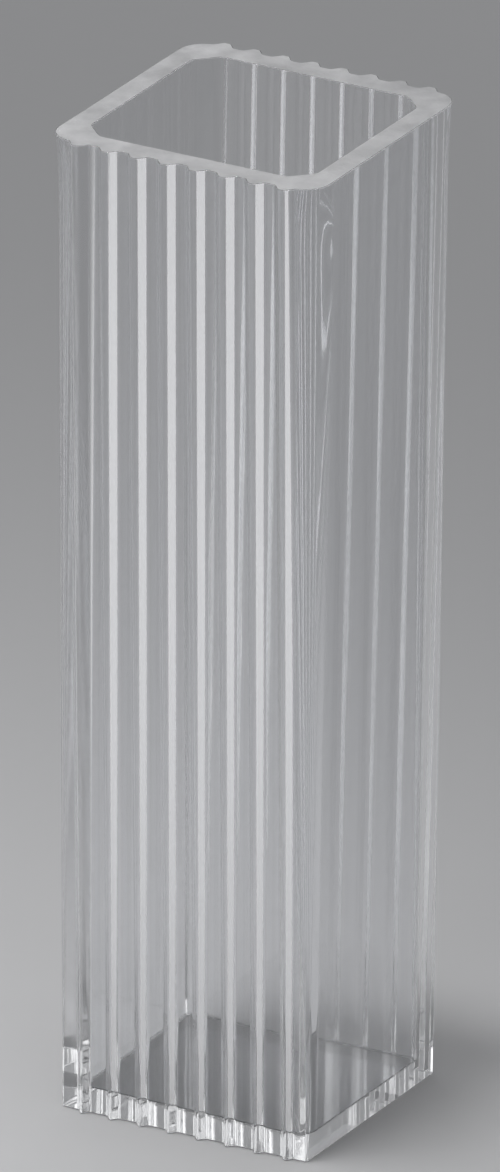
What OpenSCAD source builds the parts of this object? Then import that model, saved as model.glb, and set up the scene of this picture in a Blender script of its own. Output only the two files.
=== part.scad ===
// Square cuvette, moulded in one piece from clear plastic. It stands on its flat base with the
// well open upward. The two faces across X are clear windows, and the two faces across Y carry
// upright ribs to hold it by. Every upright face leans in a little from the rim to the base.
// Millimetres, +Z up, with the origin at the middle of the base.

/* [Body] */
// Overall height, from the base to the rim
height = 41.6; // [20:0.1:60]
// Width across the two clear windows, at the rim
rim_w = 12.2; // [11:0.1:16]
// Depth across the two ribbed walls at the rim, without the ribs
rim_d = 11.8; // [11:0.1:16]
// How far each window's outer face leans in from the rim to the base
window_lean = 0.52; // [0.34:0.02:0.8]
// How far each ribbed wall's outer face leans in from the rim to the base
grip_lean = 0.76; // [0.34:0.02:0.8]
// Radius of the four upright outer corners, at the rim
corner_r = 1.4; // [0.8:0.05:1.8]
// How far those rounded corners lean in; less than the faces do, so they fade out downward
corner_lean = 0.32; // [0:0.02:0.34]

/* [Well] */
// Thickness of the four walls, at the rim
wall = 1.05; // [0.8:0.05:1.6]
// Thickness of the floor
floor_t = 0.85; // [0.6:0.05:3]
// How far the well's two window sides lean in from the rim to the base
well_window_lean = 0.16; // [0:0.02:0.8]
// How far the well's other two sides lean in from the rim to the base
well_grip_lean = 0.5; // [0:0.02:0.8]
// Size of the 45 degree chamfers down the four inner corners, at the rim
rim_chamfer = 0.85; // [0.4:0.05:1.5]
// Size of the same chamfers at the base
base_chamfer = 0.3; // [0.1:0.05:1.5]

/* [Grip ribs] */
// Distance from one rib to the next
rib_pitch = 1.32; // [1:0.02:2]
// How far a rib stands out from its wall, at the rim
rib_h = 0.35; // [0.15:0.05:0.5]
// Width of a rib's flat top, at the rim
rib_top_w = 0.3; // [0.1:0.05:0.4]
// Width of each of a rib's two sloping flanks, at the rim
rib_flank_w = 0.3; // [0.15:0.05:0.35]
// How much less a rib stands out at the base
rib_h_loss = 0.08; // [0:0.02:0.12]
// How much narrower each half of a rib is at the base
rib_side_loss = 0.18; // [0:0.02:0.22]
// How far each row of ribs sits right of the middle of its wall, seen from outside
rib_offset = 0.08; // [-0.2:0.02:0.2]

/* [Hidden] */
$fn = 96;

// How far a rounded corner would stand out past the faces at the rim, which trim it
corner_proud = 0.03;
// Middles of the rounded corners
corner_x = rim_w / 2 - corner_r + corner_proud;
corner_y = rim_d / 2 - corner_r + corner_proud;
// Each row has as many ribs as the width of the well behind it holds
rib_count = round((rim_w - 2 * wall) / rib_pitch);
// How deep a rib's root is buried in its wall, at the rim
rib_root = wall / 3;
// Slope of a rib's flanks, and how far out from the wall the two would meet, at the rim
rib_slope = rib_h / rib_flank_w;
rib_ridge = (rib_top_w / 2 + rib_flank_w) * rib_slope;
// How far that ridge leans in from the rim to the base
ridge_lean = grip_lean + rib_side_loss * rib_slope;
// Extra length of a cut past the face that it crosses
overshoot = 1;

// Half width, at height z, of a shape that is 2 * half wide at the rim and loses 'lean' a side
function half_at(half, lean, z) = half - lean * (height - z) / height;

// Bar of the given length along Y, from z0 to z1, whose two long sides lean in downward
module leaning_bar(half, lean, z0, z1, length) {
    rotate([90, 0, 0])
        linear_extrude(length, center = true)
            polygon([
                [-half_at(half, lean, z0), z0], [half_at(half, lean, z0), z0],
                [half_at(half, lean, z1), z1], [-half_at(half, lean, z1), z1]
            ]);
}

// Body with no well or ribs: an upright post with rounded corners, trimmed by leaning faces
module outer_block() {
    span = rim_w + rim_d;
    intersection() {
        union() {
            translate([-corner_x, -span / 2, 0]) cube([2 * corner_x, span, height]);
            translate([-span / 2, -corner_y, 0]) cube([span, 2 * corner_y, height]);
            for (x = [-corner_x, corner_x], y = [-corner_y, corner_y])
                translate([x, y, 0]) cylinder(h = height, r1 = corner_r - corner_lean, r2 = corner_r);
        }
        leaning_bar(rim_w / 2, window_lean, 0, height, span);
        rotate(90) leaning_bar(rim_d / 2, grip_lean, 0, height, span);
    }
}

// The well: a bar for each pair of walls, and one for each pair of corner chamfers
module well() {
    half_w = rim_w / 2 - wall;
    half_d = rim_d / 2 - wall;
    half_diagonal = (half_w + half_d - rim_chamfer) / sqrt(2);
    diagonal_lean = (well_window_lean + well_grip_lean + base_chamfer - rim_chamfer) / sqrt(2);
    top = height + overshoot;
    span = rim_w + rim_d;
    intersection() {
        leaning_bar(half_w, well_window_lean, floor_t, top, span);
        rotate(90) leaning_bar(half_d, well_grip_lean, floor_t, top, span);
        rotate(45) leaning_bar(half_diagonal, diagonal_lean, floor_t, top, span);
        rotate(-45) leaning_bar(half_diagonal, diagonal_lean, floor_t, top, span);
    }
}

// Section of one rib before its top is cut flat: a wedge toward -Y, with its root in the wall
module rib_section() {
    half_root = (rib_ridge + rib_root) / rib_slope;
    polygon([[-half_root, rib_root], [0, -rib_ridge], [half_root, rib_root]]);
}

// Row of ribs on the -Y wall. They lean in a little more than it does, so they shrink downward.
module rib_row() {
    first_x = rib_offset - (rib_count - 1) * rib_pitch / 2;
    intersection() {
        translate([0, ridge_lean - rim_d / 2, 0])
            rotate([atan(ridge_lean / height), 0, 0])
                translate([0, 0, -overshoot])
                    linear_extrude(height + 2 * overshoot)
                        for (i = [0 : rib_count - 1])
                            translate([first_x + i * rib_pitch, 0]) rib_section();
        rotate(90) leaning_bar(rim_d / 2 + rib_h, grip_lean + rib_h_loss, 0, height, rim_w);
    }
}

module cuvette() {
    color("gainsboro", 0.45)
        union() {
            difference() {
                outer_block();
                well();
            }
            for (turn = [0, 180]) rotate(turn) rib_row();
        }
}

cuvette();
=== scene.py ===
"""A clear moulded cuvette on a pale floor in soft light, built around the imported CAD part.

The visual model is one piece. It has the CAD part's section and lean, with the small edge
roundings that a moulded part has. Its sizes are in millimetres, and its mesh is in metres.
"""

import math

import bpy
from mathutils import Matrix, Vector
from mathutils.geometry import tessellate_polygon


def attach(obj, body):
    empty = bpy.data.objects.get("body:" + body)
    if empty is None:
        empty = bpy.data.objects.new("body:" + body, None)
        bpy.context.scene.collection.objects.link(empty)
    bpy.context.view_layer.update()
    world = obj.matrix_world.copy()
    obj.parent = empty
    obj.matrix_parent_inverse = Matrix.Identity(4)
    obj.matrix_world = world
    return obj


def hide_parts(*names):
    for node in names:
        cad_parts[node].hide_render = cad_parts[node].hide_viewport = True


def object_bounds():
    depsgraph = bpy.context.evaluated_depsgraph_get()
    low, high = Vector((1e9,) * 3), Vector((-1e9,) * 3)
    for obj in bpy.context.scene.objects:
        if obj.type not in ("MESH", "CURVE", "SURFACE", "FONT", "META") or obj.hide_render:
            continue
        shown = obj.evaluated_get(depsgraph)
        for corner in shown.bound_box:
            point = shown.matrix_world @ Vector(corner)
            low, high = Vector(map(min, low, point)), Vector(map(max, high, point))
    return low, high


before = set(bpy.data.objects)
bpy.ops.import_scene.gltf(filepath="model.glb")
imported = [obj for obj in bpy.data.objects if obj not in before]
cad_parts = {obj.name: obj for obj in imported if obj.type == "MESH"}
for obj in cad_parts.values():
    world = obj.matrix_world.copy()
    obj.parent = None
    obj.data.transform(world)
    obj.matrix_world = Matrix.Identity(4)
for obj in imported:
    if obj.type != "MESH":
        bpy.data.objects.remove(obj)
cad_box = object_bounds()

MM = 0.001

# The part's own sizes, in millimetres
HEIGHT = cad_box[1].z / MM
RIM_W = (cad_box[1].x - cad_box[0].x) / MM
RIB_H = 0.35
RIM_D = (cad_box[1].y - cad_box[0].y) / MM - 2 * RIB_H
WINDOW_LEAN = 0.52
GRIP_LEAN = 0.76
WALL = 1.05
FLOOR_T = 0.85
WELL_WINDOW_LEAN = 0.16
WELL_GRIP_LEAN = 0.5
RIM_CHAMFER = 0.85
BASE_CHAMFER = 0.3
RIB_COUNT = 8
RIB_PITCH = 1.32
RIB_TOP = 0.3
RIB_FLANK = 0.3
RIB_H_LOSS = 0.08
RIB_SIDE_LOSS = 0.18
RIB_OFFSET = 0.08

# Radius of the outer corners at the base, where the lip under the rim starts, and at the rim
BASE_CORNER_R = 0.1
LIP_START_R = 1.5
RIM_CORNER_R = 1.15
LIP_HEIGHT = 2.9

# Radius of the edge roundings. A rib's two crest roundings take up at most CREST_SHARE of its top.
EDGE_R = 0.04
CREST_R = 0.12
CREST_SHARE = 0.9
FOOT_R = 0.14
WELL_CORNER_R = 0.5
WELL_FLOOR_R = 0.12

# How finely the roundings and the walls are divided
EDGE_STEPS = 3
BEND_STEPS = 4
CORNER_STEPS = 20
WELL_CORNER_STEPS = 6
WELL_FLOOR_STEPS = 6
WINDOW_STEPS = 4
WALL_STEPS = 14
LIP_STEPS = 6

# Direction down a rib's right flank, its outward normal, and the angles that normals turn between
FLANK_LENGTH = math.hypot(RIB_FLANK, RIB_H)
FLANK_DOWN = Vector((RIB_FLANK, RIB_H)) / FLANK_LENGTH
FLANK_NORMAL = Vector((RIB_H, -RIB_FLANK)) / FLANK_LENGTH
FLANK_ANGLE = math.atan2(FLANK_NORMAL.y, FLANK_NORMAL.x)
DOWN_ANGLE = -math.pi / 2

# The mesh's two materials, by number
PLASTIC = 0
RIM = 1
PLASTIC_IOR = 1.59

# The camera: its direction, roll, distance and view height, and the view's shift off the centre
CAMERA_AZIMUTH = 29.28
CAMERA_ELEVATION = 22.58
CAMERA_ROLL = -0.36
CAMERA_DISTANCE = 1272.0
VIEW_HEIGHT = 46.25
VIEW_RIGHT = -0.038
VIEW_UP = 0.782
SENSOR_HEIGHT = 36.0
# Views of the other sides take their distance from the sensor's width, which this view doesn't use.
# The lens is so long that a narrower sensor would put the part beyond those views' clip range.
SENSOR_WIDTH = 72.0

# The light, in metres and degrees with azimuth 0 at +X. At level 1 a white surface renders white.
WORLD_STRENGTH = 0.3
RING_AZIMUTHS = range(-165, 180, 30)
RING_ELEVATION = 25
RING_DISTANCE = 0.8
RING_LAMP_WIDTH = 0.14
RING_LAMP_HEIGHT = 0.3
RING_RADIANCE = 1.2
KEY_PLACE = (-0.040, -0.065)
KEY_HEIGHT = 0.5
KEY_RADIUS = 0.12
KEY_LEVEL = 0.75
KEY_SOFTNESS = 0.05

# Half width of the square floor, and the film of air between it and the base, in metres
FLOOR_HALF = 3.0
FLOOR_GAP = 0.00002

# Light that shows in the ribs is reflected many times inside the wall before it leaves
BOUNCES = 32


def direction(angle):
    """Unit vector in the XY plane at that angle in radians."""
    return Vector((math.cos(angle), math.sin(angle)))


def bend(centre, radius, start, end, steps):
    """Points with their normals round an arc, as the normal turns from start to end.

    A negative radius makes a hollow, with the centre on the outer side.
    """
    turns = [start + (end - start) * k / steps for k in range(steps + 1)]
    return [(centre + radius * direction(a), direction(a)) for a in turns]


def mirrored(points):
    """The same points on the other side of X = 0, in the order that keeps the outline's sense."""
    return [(Vector((-p.x, p.y)), Vector((-n.x, n.y))) for p, n in reversed(points)]


def turned(points):
    """The same points after a half turn."""
    return [(-p, -n) for p, n in points]


def lip_share(z):
    """How far the lip has formed at height z: 0 below it and 1 at the rim."""
    return max(0, 1 - (HEIGHT - z) / LIP_HEIGHT) ** 2


def outer_size(z):
    """Half width and half depth of the outer faces at height z, and their corners' radius."""
    drop = 1 - z / HEIGHT
    half_w = RIM_W / 2 - WINDOW_LEAN * drop
    half_d = RIM_D / 2 - GRIP_LEAN * drop
    radius = LIP_START_R - (LIP_START_R - BASE_CORNER_R) * drop
    return half_w, half_d, radius - (LIP_START_R - RIM_CORNER_R) * lip_share(z)


def rib_size(z):
    """Half width of a rib's flat top, and how far it stands out, at height z."""
    drop = 1 - z / HEIGHT
    rib_h = RIB_H - RIB_H_LOSS * drop
    half_root = RIB_TOP / 2 + RIB_FLANK - RIB_SIDE_LOSS * drop
    return half_root - rib_h * RIB_FLANK / RIB_H, rib_h


def flank_foot(crest, half_d, corner, radius):
    """The hollow where a rib's right flank meets the wall or the rounded corner beside it."""
    start = crest + FOOT_R * FLANK_NORMAL
    along = (-half_d - FOOT_R - start.y) / FLANK_DOWN.y
    centre = start + along * FLANK_DOWN
    if centre.x <= corner.x:
        return bend(centre, -FOOT_R, FLANK_ANGLE, DOWN_ANGLE, BEND_STEPS)
    offset = start - corner
    middle = offset.dot(FLANK_DOWN)
    along = -middle - math.sqrt(middle**2 - offset.length_squared + (radius + FOOT_R) ** 2)
    centre = start + along * FLANK_DOWN
    outward = centre - corner
    return bend(centre, -FOOT_R, FLANK_ANGLE, math.atan2(outward.y, outward.x), BEND_STEPS)


def right_half_of_rib(rib_x, z, half_d, corner, radius):
    """Half of a rib: the rounded edge of its top, and the foot of its flank."""
    half_top, rib_h = rib_size(z)
    crest = Vector((rib_x + half_top, -half_d - rib_h))
    tangent = math.tan((FLANK_ANGLE - DOWN_ANGLE) / 2)
    crest_r = min(CREST_R, CREST_SHARE * half_top / tangent)
    centre = crest + crest_r * Vector((-tangent, 1))
    rounding = bend(centre, crest_r, DOWN_ANGLE, FLANK_ANGLE, BEND_STEPS)
    return rounding + flank_foot(crest, half_d, corner, radius)


def ribbed_side(z, half_d, corner, radius):
    """The -Y wall's outline, from the hollow left of its first rib to the one right of its last."""
    first = RIB_OFFSET - (RIB_COUNT - 1) * RIB_PITCH / 2
    points = []
    for k in range(RIB_COUNT):
        rib_x = first + k * RIB_PITCH
        points += mirrored(right_half_of_rib(-rib_x, z, half_d, corner, radius))
        points += right_half_of_rib(rib_x, z, half_d, corner, radius)
    return points


def outer_outline(z):
    """Outline of the outer faces at height z, with the outward normal in its plane."""
    half_w, half_d, radius = outer_size(z)
    near_right = Vector((half_w - radius, radius - half_d))
    near_left = Vector((-near_right.x, near_right.y))
    ribs = ribbed_side(z, half_d, near_right, radius)
    left, right = ribs[0][1], ribs[-1][1]
    left_angle = math.atan2(left.y, left.x)
    right_angle = math.atan2(right.y, right.x)
    half = bend(near_left, radius, -math.pi, left_angle, CORNER_STEPS)[:-1]
    half += ribs
    half += bend(near_right, radius, right_angle, 0, CORNER_STEPS)[1:]
    for k in range(1, WINDOW_STEPS):
        y = near_right.y * (1 - 2 * k / WINDOW_STEPS)
        half.append((Vector((half_w, y)), Vector((1, 0))))
    return half + turned(half)


def well_outline(z):
    """Outline of the well at height z: four walls and four chamfers, with rounded corners."""
    drop = 1 - z / HEIGHT
    half_w = RIM_W / 2 - WALL - WELL_WINDOW_LEAN * drop
    half_d = RIM_D / 2 - WALL - WELL_GRIP_LEAN * drop
    chamfer = RIM_CHAMFER - (RIM_CHAMFER - BASE_CHAMFER) * drop
    half_diagonal = (half_w + half_d - chamfer) / math.sqrt(2)
    radius = WELL_CORNER_R * chamfer / RIM_CHAMFER
    reach = [half_w, half_diagonal, half_d, half_diagonal] * 2
    eighth = math.pi / 4
    points = []
    for k in range(len(reach)):
        this = reach[k] - radius
        following = reach[(k + 1) % len(reach)] - radius
        sideways = (following - this * math.cos(eighth)) / math.sin(eighth)
        start = k * eighth
        centre = this * direction(start) + sideways * direction(start + math.pi / 2)
        points += bend(centre, radius, start, start + eighth, WELL_CORNER_STEPS)
    return points


def wall_normals(outline_at, z):
    """Normal in space at each point of the outline at height z, square to the leaning wall."""
    step = 0.01
    above, below = outline_at(z + step), outline_at(z - step)
    normals = []
    for (p, n), (above_p, _), (below_p, _) in zip(outline_at(z), above, below):
        along = Vector((-n.y, n.x, 0))
        up = Vector((*(above_p - below_p), 2 * step))
        normals.append(along.cross(up).normalized())
    return normals


def edge_turns(steps):
    """Angles from 0, upright, to a quarter turn, level."""
    return [math.pi / 2 * k / steps for k in range(steps + 1)]


def wall_levels(bottom):
    """Heights between the edge roundings of a wall that starts at that height."""
    lip_start = HEIGHT - LIP_HEIGHT
    plain = [bottom + (lip_start - bottom) * k / WALL_STEPS for k in range(1, WALL_STEPS + 1)]
    lip = [lip_start + LIP_HEIGHT * k / LIP_STEPS for k in range(1, LIP_STEPS)]
    return [(z, 0, 0) for z in plain + lip]


class Mesh:
    """Points, normals and faces of one mesh as it is put together."""

    def __init__(self):
        self.points, self.normals, self.faces, self.slots = [], [], [], []

    def add_ring(self, points, normals):
        """Adds a closed ring of points, and returns their numbers."""
        first = len(self.points)
        self.points += [tuple(p) for p in points]
        self.normals += [tuple(n) for n in normals]
        return list(range(first, len(self.points)))

    def join(self, low, high):
        """Faces between two rings of equal length."""
        for k in range(len(low)):
            n = (k + 1) % len(low)
            self.faces.append((low[k], low[n], high[n], high[k]))
            self.slots.append(PLASTIC)

    def fill(self, rings, upward, slot=PLASTIC):
        """Level face inside the first ring, with the other rings as holes. All of it faces one way."""
        loops = [[Vector(self.points[i]) for i in ring] for ring in rings]
        numbers = [i for ring in rings for i in ring]
        triangles = [[numbers[i] for i in triangle] for triangle in tessellate_polygon(loops)]
        faces_up = sum(self.upward_area(triangle) for triangle in triangles) > 0
        for triangle in triangles:
            self.faces.append(triangle if faces_up == upward else triangle[::-1])
            self.slots.append(slot)

    def upward_area(self, triangle):
        """Twice the area of a level triangle, less than 0 where it faces down."""
        a, b, c = (Vector(self.points[i]) for i in triangle)
        return (b - a).cross(c - a).z


def shaped_ring(mesh, outline_at, z, inset, tilt, side):
    """Adds one level of a wall, drawn in by inset along its outline's normals.

    tilt turns the normals up, or down where it is negative. side is 1 for outer faces and -1
    for the well's, whose normals point to the middle.
    """
    points = [(*(p - inset * n), z) for p, n in outline_at(z)]
    up = Vector((0, 0, math.sin(tilt)))
    normals = [side * math.cos(tilt) * n + up for n in wall_normals(outline_at, z)]
    return mesh.add_ring(points, normals)


def add_outside(mesh):
    """Outer walls with a rounded edge at the base and the rim. Returns the rim's ring."""
    levels = []
    for a in reversed(edge_turns(EDGE_STEPS)):
        levels.append((EDGE_R * (1 - math.sin(a)), EDGE_R * (1 - math.cos(a)), -a))
    levels += wall_levels(0)
    for a in edge_turns(EDGE_STEPS):
        levels.append((HEIGHT - EDGE_R * (1 - math.sin(a)), EDGE_R * (1 - math.cos(a)), a))
    rings = [shaped_ring(mesh, outer_outline, *level, 1) for level in levels]
    for low, high in zip(rings, rings[1:]):
        mesh.join(low, high)
    mesh.fill([rings[0]], upward=False)
    return rings[-1]


def add_well(mesh):
    """The well's walls, its rounded foot and its floor. Returns the ring at its mouth."""
    levels = []
    for a in reversed(edge_turns(WELL_FLOOR_STEPS)):
        z = FLOOR_T + WELL_FLOOR_R * (1 - math.sin(a))
        levels.append((z, WELL_FLOOR_R * (1 - math.cos(a)), a))
    levels += wall_levels(FLOOR_T)
    for a in edge_turns(EDGE_STEPS):
        levels.append((HEIGHT - EDGE_R * (1 - math.sin(a)), -EDGE_R * (1 - math.cos(a)), a))
    rings = [shaped_ring(mesh, well_outline, *level, -1) for level in levels]
    for low, high in zip(rings, rings[1:]):
        mesh.join(high, low)
    mesh.fill([rings[0]], upward=True)
    return rings[-1]


def make_cuvette():
    """The whole part as one closed mesh, with its frosted rim in a second material."""
    mesh = Mesh()
    outer_rim = add_outside(mesh)
    inner_rim = add_well(mesh)
    mesh.fill([outer_rim, inner_rim], upward=True, slot=RIM)
    data = bpy.data.meshes.new("cuvette_body")
    data.from_pydata([Vector(p) * MM for p in mesh.points], [], mesh.faces)
    data.polygons.foreach_set("material_index", mesh.slots)
    data.polygons.foreach_set("use_smooth", [True] * len(mesh.faces))
    data.normals_split_custom_set_from_vertices(mesh.normals)
    data.materials.append(clear_plastic())
    data.materials.append(frosted_rim())
    piece = bpy.data.objects.new("cuvette_body", data)
    bpy.context.scene.collection.objects.link(piece)
    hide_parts("cuvette")
    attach(piece, "root")


def new_material(name):
    """A material with a Principled shader. Returns it with its node tree and that shader."""
    material = bpy.data.materials.new(name)
    material.use_nodes = True
    tree = material.node_tree
    return material, tree, tree.nodes["Principled BSDF"]


def stretched_noise(tree, scale, detail):
    """Noise over the object, in features per millimetre along each axis."""
    place = tree.nodes.new("ShaderNodeTexCoord")
    stretch = tree.nodes.new("ShaderNodeMapping")
    stretch.inputs["Scale"].default_value = [s / MM for s in scale]
    noise = tree.nodes.new("ShaderNodeTexNoise")
    noise.inputs["Scale"].default_value = 1
    noise.inputs["Detail"].default_value = detail
    tree.links.new(place.outputs["Object"], stretch.inputs["Vector"])
    tree.links.new(stretch.outputs["Vector"], noise.inputs["Vector"])
    return noise.outputs["Fac"]


def ranged(tree, value, low, high):
    """value from 0.3 to 0.7, spread from low to high."""
    spread = tree.nodes.new("ShaderNodeMapRange")
    spread.inputs["From Min"].default_value = 0.3
    spread.inputs["From Max"].default_value = 0.7
    spread.inputs["To Min"].default_value = low
    spread.inputs["To Max"].default_value = high
    tree.links.new(value, spread.inputs["Value"])
    return spread.outputs["Result"]


def bumped(tree, shader, height, distance, strength):
    """Makes the surface look raised by height, from 0 to 1, times distance in metres."""
    bump = tree.nodes.new("ShaderNodeBump")
    bump.inputs["Distance"].default_value = distance
    bump.inputs["Strength"].default_value = strength
    tree.links.new(height, bump.inputs["Height"])
    tree.links.new(bump.outputs["Normal"], shader.inputs["Normal"])


def clear_plastic():
    """Clear polystyrene with faint upright draw marks from the mould and slight smudges."""
    material, tree, shader = new_material("clear_plastic")
    shader.inputs["Base Color"].default_value = (0.97, 0.975, 0.985, 1)
    shader.inputs["Transmission Weight"].default_value = 1
    shader.inputs["IOR"].default_value = PLASTIC_IOR
    smudges = stretched_noise(tree, (0.5, 0.5, 0.15), 3)
    tree.links.new(ranged(tree, smudges, 0.01, 0.05), shader.inputs["Roughness"])
    draw_marks = stretched_noise(tree, (2.5, 2.5, 0.008), 2)
    bumped(tree, shader, draw_marks, 0.00001, 0.15)
    return material


def frosted_rim():
    """The cut rim: finely ground, so that it scatters light and looks whitish and mottled."""
    material, tree, shader = new_material("frosted_rim")
    shader.inputs["Transmission Weight"].default_value = 0.4
    shader.inputs["IOR"].default_value = PLASTIC_IOR
    mottle = tree.nodes.new("ShaderNodeMix")
    mottle.data_type = "RGBA"
    mottle.inputs["A"].default_value = (0.66, 0.66, 0.67, 1)
    mottle.inputs["B"].default_value = (0.95, 0.95, 0.96, 1)
    patches = stretched_noise(tree, (0.9, 0.9, 0.9), 5)
    tree.links.new(ranged(tree, patches, 0, 1), mottle.inputs["Factor"])
    tree.links.new(mottle.outputs["Result"], shader.inputs["Base Color"])
    grain = stretched_noise(tree, (8, 8, 8), 4)
    tree.links.new(ranged(tree, grain, 0.4, 0.6), shader.inputs["Roughness"])
    bumped(tree, shader, grain, 0.00003, 0.5)
    return material


def pale_floor():
    """Matt pale grey board."""
    material, tree, shader = new_material("pale_floor")
    shader.inputs["Base Color"].default_value = (0.6, 0.6, 0.607, 1)
    shader.inputs["Specular IOR Level"].default_value = 0.1
    speckle = stretched_noise(tree, (0.8, 0.8, 0.8), 4)
    tree.links.new(ranged(tree, speckle, 0.75, 0.9), shader.inputs["Roughness"])
    return material


def make_floor():
    """A wide level floor, a hair below the base so that a film of air lies between them."""
    signs = ((-1, -1), (1, -1), (1, 1), (-1, 1))
    corners = [(x * FLOOR_HALF, y * FLOOR_HALF, -FLOOR_GAP) for x, y in signs]
    data = bpy.data.meshes.new("floor")
    data.from_pydata(corners, [], [(0, 1, 2, 3)])
    data.materials.append(pale_floor())
    floor = bpy.data.objects.new("floor", data)
    bpy.context.scene.collection.objects.link(floor)


def make_ring_lamp(azimuth):
    """One soft area lamp of the ring. It faces the part from that azimuth in degrees."""
    name = f"ring_lamp_{azimuth}"
    lamp = bpy.data.lights.new(name, "AREA")
    lamp.shape = "RECTANGLE"
    lamp.size, lamp.size_y = RING_LAMP_WIDTH, RING_LAMP_HEIGHT
    lamp.energy = RING_RADIANCE * math.pi * RING_LAMP_WIDTH * RING_LAMP_HEIGHT
    level, up = direction(math.radians(azimuth)), math.radians(RING_ELEVATION)
    toward = Vector((*(level * math.cos(up)), math.sin(up)))
    facing = toward.to_track_quat("Z", "Y").to_matrix().to_4x4()
    holder = bpy.data.objects.new(name, lamp)
    holder.matrix_world = Matrix.Translation(toward * RING_DISTANCE) @ facing
    holder.visible_camera = False
    bpy.context.scene.collection.objects.link(holder)


def make_key_lamp():
    """A soft lamp straight above KEY_PLACE. Its light fades to nothing at KEY_RADIUS from there.

    KEY_LEVEL is what it adds on the floor right below it.
    """
    lamp = bpy.data.lights.new("key_lamp", "SPOT")
    lamp.spot_size = 2 * math.atan(KEY_RADIUS / KEY_HEIGHT)
    lamp.spot_blend = 1
    lamp.shadow_soft_size = KEY_SOFTNESS
    lamp.energy = KEY_LEVEL * math.pi * 4 * math.pi * KEY_HEIGHT**2
    holder = bpy.data.objects.new("key_lamp", lamp)
    holder.location = (*KEY_PLACE, KEY_HEIGHT)
    bpy.context.scene.collection.objects.link(holder)


def make_world():
    """Even pale light from all round."""
    world = bpy.data.worlds.new("studio")
    world.use_nodes = True
    background = world.node_tree.nodes["Background"]
    background.inputs["Color"].default_value = (0.97, 0.98, 1, 1)
    background.inputs["Strength"].default_value = WORLD_STRENGTH
    bpy.context.scene.world = world


def make_camera():
    """The camera at the reference view, level but for a slight roll."""
    azimuth, elevation = math.radians(CAMERA_AZIMUTH), math.radians(CAMERA_ELEVATION)
    back = Vector((
        math.sin(azimuth) * math.cos(elevation),
        -math.cos(azimuth) * math.cos(elevation),
        math.sin(elevation),
    ))
    level_right = Vector((math.cos(azimuth), math.sin(azimuth), 0))
    level_up = back.cross(level_right)
    roll = math.radians(CAMERA_ROLL)
    right = math.cos(roll) * level_right - math.sin(roll) * level_up
    up = math.sin(roll) * level_right + math.cos(roll) * level_up
    centre = Vector((0, 0, HEIGHT / 2))
    place = centre + CAMERA_DISTANCE * back + VIEW_RIGHT * right + VIEW_UP * up
    lens = bpy.data.cameras.new("camera")
    lens.sensor_fit = "VERTICAL"
    lens.sensor_height = SENSOR_HEIGHT
    lens.sensor_width = SENSOR_WIDTH
    lens.lens = SENSOR_HEIGHT * CAMERA_DISTANCE / VIEW_HEIGHT
    camera = bpy.data.objects.new("camera", lens)
    facing = Matrix((right, up, back)).transposed().to_4x4()
    camera.matrix_world = Matrix.Translation(place * MM) @ facing
    bpy.context.scene.collection.objects.link(camera)
    bpy.context.scene.camera = camera


def set_render():
    """Enough bounces for clear plastic, and the standard view with no tone curve."""
    scene = bpy.context.scene
    scene.cycles.max_bounces = BOUNCES
    scene.cycles.glossy_bounces = BOUNCES
    scene.cycles.transmission_bounces = BOUNCES
    scene.view_settings.view_transform = "Standard"


make_camera()
make_cuvette()
make_floor()
make_world()
for ring_azimuth in RING_AZIMUTHS:
    make_ring_lamp(ring_azimuth)
make_key_lamp()
set_render()
